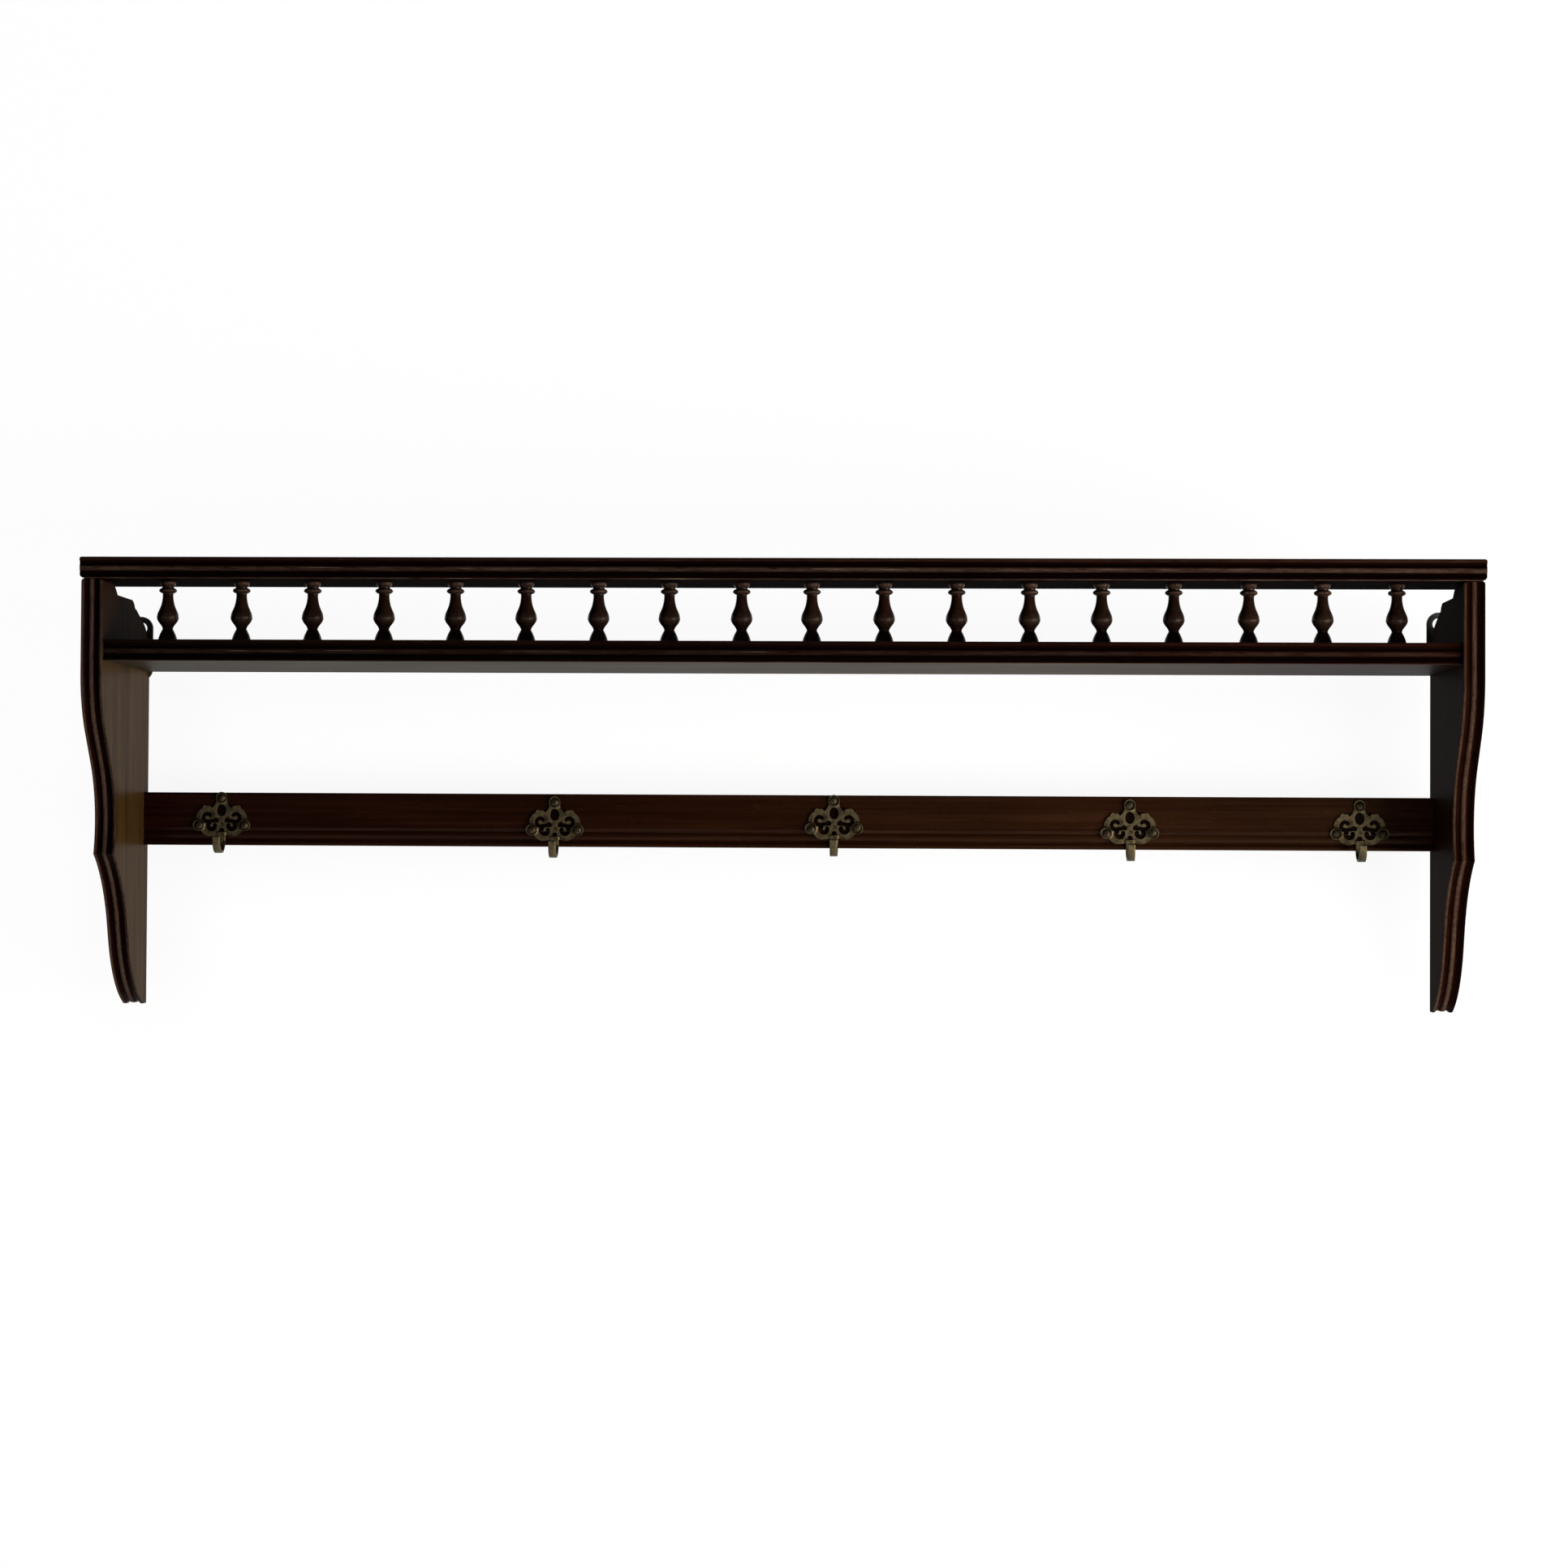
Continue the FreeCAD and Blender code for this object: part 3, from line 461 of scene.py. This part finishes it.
def panel_masks(name, way, thin, painted_shade, matt, lips):
    """The masks of an end board whose inner face looks along +X (way 1) or -X (way -1)."""
    low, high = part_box(name)
    left, right = lips
    wear_and_highlight_stops = [
        (0.0, left), (lip_places[0], lip_falls[0] * left), *standing_wear_and_highlight,
        (lip_places[1], lip_falls[1] * right), (1.0, right),
    ]
    dirt_and_shade_stops = [*standing_dirt_and_shade, (lip_places[1], lip_shade - right)]

    def masks(tree, places, sides):
        across = span(tree, places[0], low.x, high.x)
        front = maths(tree, "LESS_THAN", sides[1], front_limit)
        below = maths(tree, "LESS_THAN", sides[2], top_limit)
        shown = maths(tree, "MULTIPLY", front, below)
        inner = maths(tree, "GREATER_THAN", maths(tree, "MULTIPLY", sides[0], way), inner_limit)
        above = span(tree, places[2], shelf_low, shelf_high)
        matted = ramp(tree, above, [(0.0, matt), (1.0, gallery_matt)])
        # Painted light and shade: the lit inner face below the shelf paler, the shaded gallery darker
        thinned_and_lit = ramp(tree, above, [(0.0, thin), (1.0, gallery_thin_in_shade)])
        wear = maths(tree, "MULTIPLY", ramp(tree, across, wear_and_highlight_stops), shown)
        dark = maths(tree, "MULTIPLY", ramp(tree, across, dirt_and_shade_stops), shown)
        # Painted shade darkens the inner face
        dark = maths(tree, "MULTIPLY_ADD", inner, painted_shade, dark, clamp=True)
        pale = maths(tree, "MULTIPLY", inner, thinned_and_lit)
        dull = maths(tree, "MULTIPLY", inner, matted)
        return wear, dark, pale, dull

    return masks


def spindle_masks(tree, places, sides):
    """The masks of a spindle, worn and with painted highlights on its crests, by height over the shelf."""
    height = maths(tree, "DIVIDE", maths(tree, "SUBTRACT", places[2], shelf_high), gallery_height)
    return ramp(tree, height, spindle_wear_and_highlight), ramp(tree, height, spindle_dirt_and_shade), 0.0, 0.0


def shade_round_screws(tree, places):
    """A painted shadow in a ring round each of a hook's three screws, 0 to 1, in the first hook's place."""
    low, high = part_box("hook_screws_1")
    screws = (
        ((low.x + high.x) / 2, high.z - screw_radius),
        (low.x + screw_radius, low.z + screw_radius),
        (high.x - screw_radius, low.z + screw_radius),
    )
    nearest = None
    for x, z in screws:
        aside = maths(tree, "POWER", maths(tree, "SUBTRACT", places[0], x), 2.0)
        above = maths(tree, "POWER", maths(tree, "SUBTRACT", places[2], z), 2.0)
        away = maths(tree, "SQRT", maths(tree, "ADD", aside, above))
        away = maths(tree, "DIVIDE", away, screw_radius * ring_span)
        nearest = away if nearest is None else maths(tree, "MINIMUM", nearest, away)
    return ramp(tree, nearest, ring_shade_stops)


def metal(name, light, dark, rough, patina_scale, metallic, ring_shade_mask=None):
    """Aged metal with a cloudy patina and fine pits, and a painted shadow where ring_shade_mask(tree,
    places) says.
    """
    material, tree = new_material(name)
    position = add(tree, "TexCoord").outputs["Object"]
    patina = cloud(tree, position, [patina_scale] * 3, patina_detail, patina_roughness)
    pits = cloud(tree, position, [pit_scale] * 3, 3.0)
    colour = ramp(tree, patina, list(zip(patina_places, (dark, light))))
    colour = blend(tree, ramp(tree, pits, pit_stops), colour, dark)
    if ring_shade_mask is not None:
        places = add(tree, "SeparateXYZ", {"Vector": position}).outputs
        covered = maths(tree, "MULTIPLY", ring_shade_mask(tree, places), ring_shade_cover)
        # Painted shadow round the screw heads
        colour = blend(tree, covered, colour, pore_dirt_and_shade_colour)
    roughness = maths(tree, "MULTIPLY_ADD", patina, patina_swing, rough, clamp=True)
    relief = maths(tree, "MULTIPLY_ADD", pits, pit_relief, patina)
    bump = add(tree, "Bump", {"Height": relief, **metal_bump}).outputs[0]
    shader = add(tree, "BsdfPrincipled", {
        "Base Color": colour, "Roughness": roughness, "Normal": bump, "Metallic": metallic,
    })
    add(tree, "OutputMaterial", {"Surface": shader.outputs[0]})
    return material


def plain_wood(name, colour):
    """Bare dowel wood with a straight grain along X."""
    material, tree = new_material(name)
    position = add(tree, "TexCoord").outputs["Object"]
    streaks = fibres(tree, position, "X", dowel_noise)
    shade = tuple(dowel_shade * part for part in colour[:3]) + (1,)
    tint = ramp(tree, streaks, list(zip(dowel_places, (shade, colour))))
    bump = add(tree, "Bump", {"Height": streaks, **dowel_bump}).outputs[0]
    shader = add(tree, "BsdfPrincipled", {"Base Color": tint, "Roughness": dowel_roughness, "Normal": bump})
    add(tree, "OutputMaterial", {"Surface": shader.outputs[0]})
    return material


def dress(node, material):
    """Give a CAD node one material."""
    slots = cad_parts[node].data.materials
    slots.clear()
    slots.append(material)


def fit(mesh, box):
    """Stretch a mesh a little so that it fills a box again."""
    low = Vector(min(vertex.co[axis] for vertex in mesh.vertices) for axis in range(3))
    high = Vector(max(vertex.co[axis] for vertex in mesh.vertices) for axis in range(3))
    scale = Vector((box[1][axis] - box[0][axis]) / (high[axis] - low[axis]) for axis in range(3))
    stretch = Matrix.Diagonal(scale).to_4x4()
    mesh.transform(Matrix.Translation(box[0]) @ stretch @ Matrix.Translation(-low))


def casting_mesh(material):
    """The first hook's mesh with the soft, rounded edges of a sand casting."""
    pattern = bpy.data.objects.new("hook_pattern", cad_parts["hook_1"].data.copy())
    bpy.context.scene.collection.objects.link(pattern)
    skin = pattern.modifiers.new("skin", "REMESH")
    skin.mode = "VOXEL"
    skin.voxel_size = casting_voxel
    skin.use_smooth_shade = True
    wear = pattern.modifiers.new("wear", "SMOOTH")
    wear.factor = casting_smoothness
    wear.iterations = casting_smoothing
    thin = pattern.modifiers.new("thin", "DISPLACE")
    thin.mid_level = 0.0
    thin.strength = -casting_wear
    depsgraph = bpy.context.evaluated_depsgraph_get()
    mesh = bpy.data.meshes.new_from_object(pattern.evaluated_get(depsgraph))
    mesh.name = "hook_casting"
    fit(mesh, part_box("hook_1"))
    mesh.materials.clear()
    mesh.materials.append(material)
    bpy.data.objects.remove(pattern)
    return mesh


def cast_hooks(material):
    """The five hooks as castings, one mesh for them all, each in the place of its CAD node."""
    mesh = casting_mesh(material)
    for number in hook_numbers:
        node = "hook_%d" % number
        piece = bpy.data.objects.new(node + "_casting", mesh)
        piece.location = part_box(node)[0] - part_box("hook_1")[0]
        bpy.context.scene.collection.objects.link(piece)
        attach(piece, "root")
        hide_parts(node)


def stage_mesh():
    """The wall that sweeps down into the floor, and a strip of floor that runs on behind the wall."""
    floor_z = cad_low.z - floor_drop
    sweep_start = wall_gap - sweep_radius
    outline = [(wall_gap, cad_high.z + stage_reach)]
    for step in range(sweep_steps + 1):
        turn = math.pi / 2 * step / sweep_steps
        outline.append((
            sweep_start + sweep_radius * math.cos(turn),
            floor_z + sweep_radius * (1 - math.sin(turn)),
        ))
    outline.append((wall_gap - stage_reach, floor_z))
    faces = [(2 * i, 2 * i + 2, 2 * i + 3, 2 * i + 1) for i in range(len(outline) - 1)]
    start = 2 * len(outline)
    faces.append((start, start + 1, start + 3, start + 2))
    outline += [(sweep_start, floor_z), (stage_reach, floor_z)]
    points = [(side * stage_reach, y, z) for y, z in outline for side in (-1, 1)]
    mesh = bpy.data.meshes.new("studio_sweep")
    mesh.from_pydata(points, [], faces)
    mesh.validate()
    for face in mesh.polygons:
        face.use_smooth = True
    return mesh


def stage_paper():
    """Paper that is white to the eye and in reflections, with painted shade close round the shelf, and that
    lets light and sight in from behind.
    """
    material, tree = new_material("studio_paper")
    rays = add(tree, "LightPath").outputs
    seen = maths(tree, "MAXIMUM", rays["Is Camera Ray"], rays["Is Glossy Ray"])
    seen = maths(tree, "MAXIMUM", seen, rays["Is Transmission Ray"])
    lit = add(tree, "BsdfDiffuse", {"Color": stage_tone}).outputs[0]
    # Painted shade: ambient occlusion dims the paper's white in a halo close round the shelf
    occlusion = add(tree, "AmbientOcclusion", {"Distance": halo_reach}, samples=halo_samples)
    halo_stops = [(0.0, halo_white / stage_white), (1.0, 1.0)]
    strength = ramp(tree, occlusion.outputs["AO"], halo_stops)
    white = add(tree, "Emission", {"Color": strength, "Strength": stage_white}).outputs[0]
    share = maths(tree, "MULTIPLY", seen, stage_share)
    paper = add(tree, "MixShader", {0: share, 1: lit, 2: white}).outputs[0]
    clear = add(tree, "BsdfTransparent").outputs[0]
    behind = add(tree, "NewGeometry").outputs["Backfacing"]
    surface = add(tree, "MixShader", {0: behind, 1: paper, 2: clear}).outputs[0]
    add(tree, "OutputMaterial", {"Surface": surface})
    return material


def make_stage():
    """The wall and the floor."""
    mesh = stage_mesh()
    mesh.materials.append(stage_paper())
    stage = bpy.data.objects.new("studio_sweep", mesh)
    bpy.context.scene.collection.objects.link(stage)


def make_world():
    """A plain grey room."""
    world = bpy.data.worlds.new("studio")
    bpy.context.scene.world = world
    world.use_nodes = True
    tree = world.node_tree
    tree.nodes.clear()
    background = add(tree, "Background", {"Color": room_tone, "Strength": 1.0})
    add(tree, "OutputWorld", {"Surface": background.outputs[0]})


def make_lamps():
    """Square soft lamps that look at the shelf's middle."""
    middle = (cad_low + cad_high) / 2
    for name, place, size, power, colour in lamps:
        lamp = bpy.data.lights.new(name, "AREA")
        lamp.shape = "SQUARE"
        lamp.size = size
        lamp.energy = power
        lamp.color = colour
        light = bpy.data.objects.new(name, lamp)
        light.location = place
        light.rotation_euler = (middle - Vector(place)).to_track_quat("-Z", "Y").to_euler()
        light.visible_camera = False
        bpy.context.scene.collection.objects.link(light)


def make_camera():
    """The photograph's viewpoint."""
    data = bpy.data.cameras.new("camera")
    data.lens = camera_lens
    data.sensor_width = camera_sensor
    camera = bpy.data.objects.new("camera", data)
    turn = (
        Matrix.Rotation(camera_yaw, 4, "Z") @ Matrix.Rotation(camera_pitch, 4, "X")
        @ Matrix.Rotation(camera_roll, 4, "Y") @ Matrix.Rotation(math.pi / 2, 4, "X")
    )
    camera.matrix_world = Matrix.Translation(camera_place) @ turn
    bpy.context.scene.collection.objects.link(camera)
    bpy.context.scene.camera = camera


make_camera()
make_stage()
make_world()
make_lamps()

cap_masks = board_masks("top_rail", **cap_under)
shelf_masks = board_masks("shelf_board", **shelf_under)
left_masks = panel_masks("side_panel_left", **left_inside)
right_masks = panel_masks("side_panel_right", **right_inside)
dress("top_rail", wood("top_rail_wood", "X", cap_masks, **cap_look))
dress("shelf_board", wood("shelf_board_wood", "X", shelf_masks, **shelf_look))
dress("hook_rail", wood("hook_rail_wood", "X", rail_masks, **rail_look))
dress("side_panel_left", wood("side_panel_left_wood", "Z", left_masks, **left_look, bare=thin_stain_and_light))
dress("side_panel_right", wood("side_panel_right_wood", "Z", right_masks, **right_look, bare=thin_stain_and_light))

spindle_wood = wood("spindle_wood", "Z", spindle_masks, **spindle_look)
brass = metal("aged_brass", **brass_look, ring_shade_mask=shade_round_screws)
screw_brass = metal("screw_brass", **screw_brass_look)
black_metal = metal("black_metal", **black_look)
screw_steel = metal("screw_steel", **steel_look)
dowel_wood = plain_wood("dowel_wood", dowel_colour)
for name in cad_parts:
    if name.startswith("spindle"):
        dress(name, spindle_wood)
    elif name.startswith("hook_screws"):
        dress(name, screw_brass)
    elif name.startswith("hook_") and name != "hook_rail":
        dress(name, brass)
    elif name.startswith("hanger_plate"):
        dress(name, black_metal)
    elif name == "hanger_screws":
        dress(name, screw_steel)
    elif name.endswith("dowels"):
        dress(name, dowel_wood)

cast_hooks(brass)

bpy.context.scene.view_settings.view_transform = "Standard"
